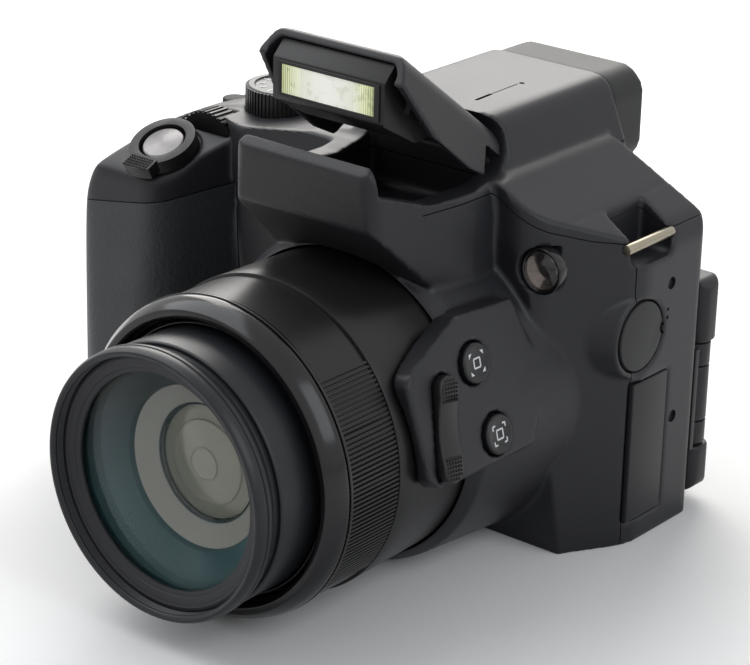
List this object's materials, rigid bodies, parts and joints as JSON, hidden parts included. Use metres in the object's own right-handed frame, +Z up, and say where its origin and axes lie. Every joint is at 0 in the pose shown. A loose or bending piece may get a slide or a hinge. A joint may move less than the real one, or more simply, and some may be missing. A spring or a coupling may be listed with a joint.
{
  "type": "bridge camera",
  "caption": "Bridge camera with a long zoom lens, a raised flash, a deep rubber grip, an eye-level finder and a swing-out screen.",
  "frame": {"origin": "centre of the tripod socket's mouth, on the camera's base", "axes": "+Z up, -Y the way the lens points, +X to the side that carries the screen hinge"},
  "size_m": [0.1272, 0.1338, 0.1092],
  "materials": {
    "body_plastic": "fine-textured satin",
    "barrel_plastic": "satin",
    "dark_plastic": "matt",
    "gloss_black": "gloss",
    "grip_rubber": "fine grain",
    "dark_rubber": "matt",
    "button_plastic": "satin",
    "button_metal": "turned, dark",
    "dial_plastic": "knurled",
    "lens_glass": "coated",
    "window_plastic": "ribbed",
    "lamp_plastic": "tinted",
    "screen_glass": "polished",
    "tube_glass": "clear",
    "reflector": "bright",
    "steel": "satin",
    "chassis_metal": "sheet",
    "board": "satin",
    "battery_plastic": "satin",
    "card_plastic": "satin"
  },
  "bodies": {
    "camera_body": {"audio_jack": "steel", "base_plate": "body_plastic", "base_screws": "steel", "battery": "battery_plastic", "battery_box": "dark_plastic", "bezel_ring": "gloss_black", "chassis": "chassis_metal", "eyecup": "dark_rubber", "eyepiece_glass": "lens_glass", "flash_pin": "steel", "focus_lamp": "lamp_plastic", "front_cover": "body_plastic", "grip_skin": "grip_rubber", "image_sensor": "screen_glass", "lens_base": "barrel_plastic", "main_board": "board", "memory_card": "card_plastic", "rear_cover": "body_plastic", "ribbed_ring": "barrel_plastic", "screen_hinge_base": "dark_plastic", "screen_pin": "steel", "strap_bars": "steel", "terminal_block": "dark_plastic", "thumb_rest": "grip_rubber", "top_cover": "body_plastic", "tripod_socket": "steel", "viewfinder_display": "screen_glass", "viewfinder_housing": "dark_plastic"},
    "cam": {"cam_barrel": "barrel_plastic"},
    "middle_barrel": {"middle_barrel": "barrel_plastic"},
    "front_group": {"front_barrel": "barrel_plastic", "front_ring": "barrel_plastic", "face_ring": "dark_plastic", "front_glass": "lens_glass", "lens_cell": "dark_plastic", "inner_glass": "lens_glass"},
    "flash": {"flash_lid": "body_plastic", "flash_head": "dark_plastic", "flash_window": "window_plastic", "flash_reflector": "reflector", "flash_tube": "tube_glass"},
    "shutter_button": {"shutter_button": "button_metal"},
    "zoom_lever": {"zoom_lever": "dark_plastic"},
    "front_dial": {"front_dial": "dial_plastic"},
    "mode_dial": {"mode_dial": "dial_plastic"},
    "power_button": {"power_button": "dark_plastic"},
    "seek_button": {"seek_button": "button_plastic"},
    "lock_button": {"lock_button": "button_plastic"},
    "zoom_rocker": {"zoom_rocker": "button_plastic"},
    "jack_cap": {"jack_cap": "dark_rubber"},
    "terminal_door": {"terminal_door": "dark_rubber"},
    "screen": {"screen_shell": "body_plastic", "screen_glass": "screen_glass", "screen_hinge_arm": "dark_plastic"},
    "rear_dial": {"rear_dial": "dial_plastic"},
    "set_button": {"set_button": "button_plastic"},
    "play_button": {"play_button": "button_plastic"},
    "menu_button": {"menu_button": "button_plastic"},
    "movie_button": {"movie_button": "button_plastic"},
    "battery_door": {"battery_door": "body_plastic"}
  },
  "joints": [
    {"name": "zoom_slide", "type": "slide", "parent": "camera_body", "child": "front_group", "axis": [0, -1, 0], "range_m": [-0.015, 0.045]},
    {"name": "middle_slide", "type": "slide", "parent": "camera_body", "child": "middle_barrel", "axis": [0, -1, 0], "range_m": [-0.0076, 0.0226]},
    {"name": "cam_turn", "type": "hinge", "parent": "camera_body", "child": "cam", "pos_m": [0, -0.014, 0.0335], "axis": [0, -1, 0], "range_deg": [-30.5, 91]},
    {"name": "flash_hinge", "type": "hinge", "parent": "camera_body", "child": "flash", "pos_m": [0, -0.0195, 0.0865], "axis": [1, 0, 0], "range_deg": [0, 36.3]},
    {"name": "shutter_button_press", "type": "slide", "parent": "camera_body", "child": "shutter_button", "axis": [0, 0.4399, -0.8981], "range_m": [0, 0.0009], "stiffness_N_per_m": 500},
    {"name": "lever_turn", "type": "hinge", "parent": "camera_body", "child": "zoom_lever", "pos_m": [-0.062, -0.0272, 0.06957], "axis": [0, -0.4399, 0.8981], "range_deg": [-20, 20], "stiffness_Nm_per_rad": 0.05},
    {"name": "front_dial_turn", "type": "hinge", "parent": "camera_body", "child": "front_dial", "pos_m": [-0.0574, -0.0166, 0.0682], "axis": [0, -1, 0], "continuous": true},
    {"name": "mode_dial_turn", "type": "hinge", "parent": "camera_body", "child": "mode_dial", "pos_m": [-0.0475, -0.0045, 0.078], "axis": [0, 0, 1], "continuous": true},
    {"name": "power_button_press", "type": "slide", "parent": "camera_body", "child": "power_button", "axis": [0, 0, -1], "range_m": [0, 0.0009], "stiffness_N_per_m": 400},
    {"name": "seek_button_press", "type": "slide", "parent": "camera_body", "child": "seek_button", "axis": [-0.9703, 0, -0.2419], "range_m": [0, 0.0009], "stiffness_N_per_m": 400},
    {"name": "lock_button_press", "type": "slide", "parent": "camera_body", "child": "lock_button", "axis": [-0.9703, 0, -0.2419], "range_m": [0, 0.0009], "stiffness_N_per_m": 400},
    {"name": "rocker_tip", "type": "hinge", "parent": "camera_body", "child": "zoom_rocker", "pos_m": [0.0342, -0.0524, 0.041], "axis": [0.0378, 0.9877, -0.1518], "range_deg": [-3, 3], "stiffness_Nm_per_rad": 0.3},
    {"name": "jack_cap_hinge", "type": "hinge", "parent": "camera_body", "child": "jack_cap", "pos_m": [0.043, -0.0059, 0.0465], "axis": [0, 0, -1], "range_deg": [0, 110]},
    {"name": "terminal_door_hinge", "type": "hinge", "parent": "camera_body", "child": "terminal_door", "pos_m": [0.0432, -0.0006, 0.02], "axis": [0, 0, -1], "range_deg": [0, 110]},
    {"name": "screen_swing", "type": "hinge", "parent": "camera_body", "child": "screen", "pos_m": [0.0392, 0.0282, 0.0255], "axis": [0, 0, -1], "range_deg": [0, 175]},
    {"name": "rear_dial_turn", "type": "hinge", "parent": "camera_body", "child": "rear_dial", "pos_m": [-0.059, 0.024, 0.027], "axis": [0, 1, 0], "continuous": true},
    {"name": "set_button_press", "type": "slide", "parent": "camera_body", "child": "set_button", "axis": [0, -1, 0], "range_m": [0, 0.0009], "stiffness_N_per_m": 400},
    {"name": "play_button_press", "type": "slide", "parent": "camera_body", "child": "play_button", "axis": [0, -1, 0], "range_m": [0, 0.0007], "stiffness_N_per_m": 400},
    {"name": "menu_button_press", "type": "slide", "parent": "camera_body", "child": "menu_button", "axis": [0, -1, 0], "range_m": [0, 0.0007], "stiffness_N_per_m": 400},
    {"name": "movie_button_press", "type": "slide", "parent": "camera_body", "child": "movie_button", "axis": [0, -1, 0], "range_m": [0, 0.0007], "stiffness_N_per_m": 400},
    {"name": "battery_door_hinge", "type": "hinge", "parent": "camera_body", "child": "battery_door", "pos_m": [-0.065, 0.0059, 0.0011], "axis": [1, 0, 0], "range_deg": [0, 90]}
  ],
  "couplings": [
    {"joint": "middle_slide", "follows": "zoom_slide", "ratio": 0.5},
    {"joint": "cam_turn", "follows": "zoom_slide", "rad_per_m": 35}
  ]
}
